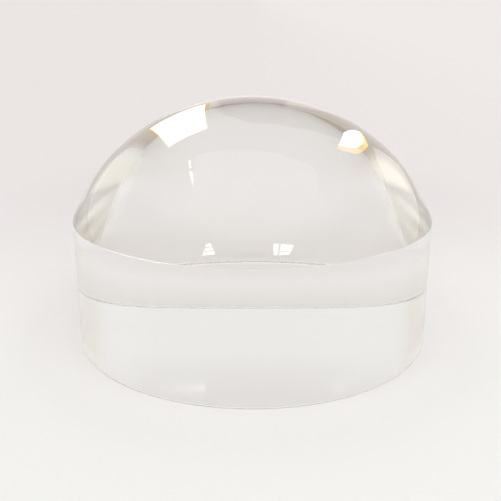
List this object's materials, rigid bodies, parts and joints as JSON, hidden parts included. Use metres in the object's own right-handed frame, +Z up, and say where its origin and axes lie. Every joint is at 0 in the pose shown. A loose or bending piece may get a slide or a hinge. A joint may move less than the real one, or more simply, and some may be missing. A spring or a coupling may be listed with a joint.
{
  "type": "low vision magnifier",
  "caption": "Solid clear dome magnifier with a short upright wall and a flat base, which lies on the page and enlarges the print under it.",
  "frame": {"origin": "centre of the flat base, on the page that the lens rests on", "axes": "+Z up along the optical axis through the crown of the dome; the lens is a body of revolution, so X and Y are any two directions across the base"},
  "size_m": [0.065, 0.065, 0.0438],
  "materials": {
    "clear_acrylic": "polished clear cast acrylic, the flat base as polished as the dome"
  },
  "bodies": {
    "root": {"dome_lens": "clear_acrylic"}
  },
  "joints": []
}
